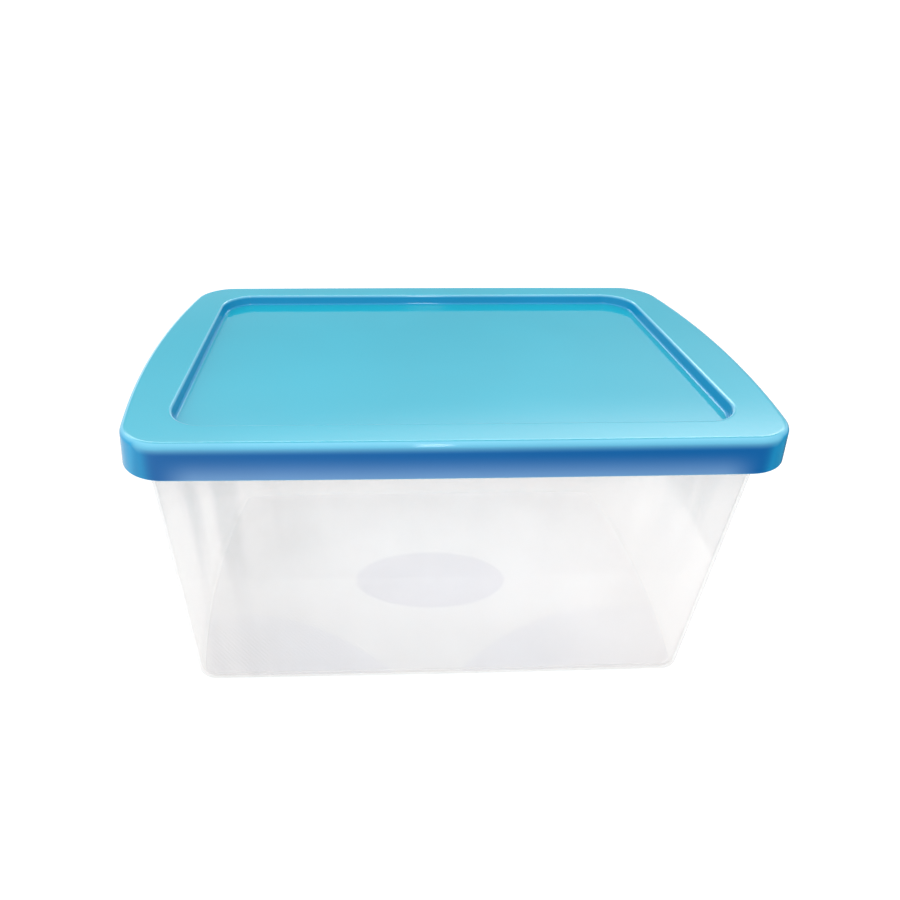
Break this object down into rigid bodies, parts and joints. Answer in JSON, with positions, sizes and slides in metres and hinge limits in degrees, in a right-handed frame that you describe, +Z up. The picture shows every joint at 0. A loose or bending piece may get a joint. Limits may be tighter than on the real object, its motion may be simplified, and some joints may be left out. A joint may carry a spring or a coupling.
{
  "type": "storage box with snap-fit lid",
  "caption": "Rectangular translucent plastic storage tub with bowed ends and a glossy blue snap-fit lid with a sunken top panel.",
  "frame": {"origin": "centre of the underside, on the surface that the box stands on", "axes": "+X along the long sides, towards the right end as seen from the front; +Y from front to back; +Z up"},
  "size_m": [0.36, 0.227, 0.188],
  "materials": {
    "tub": "frosted translucent polypropylene, smooth outside, faint fine texture on the floor",
    "lid": "glossy opaque polypropylene"
  },
  "bodies": {
    "tub": {"tub": "tub"},
    "lid": {"lid": "lid"}
  },
  "joints": [
    {"name": "lid_lift", "type": "slide", "parent": "tub", "child": "lid", "axis": [0, 0, 1], "range_m": [0, 0.2]}
  ]
}
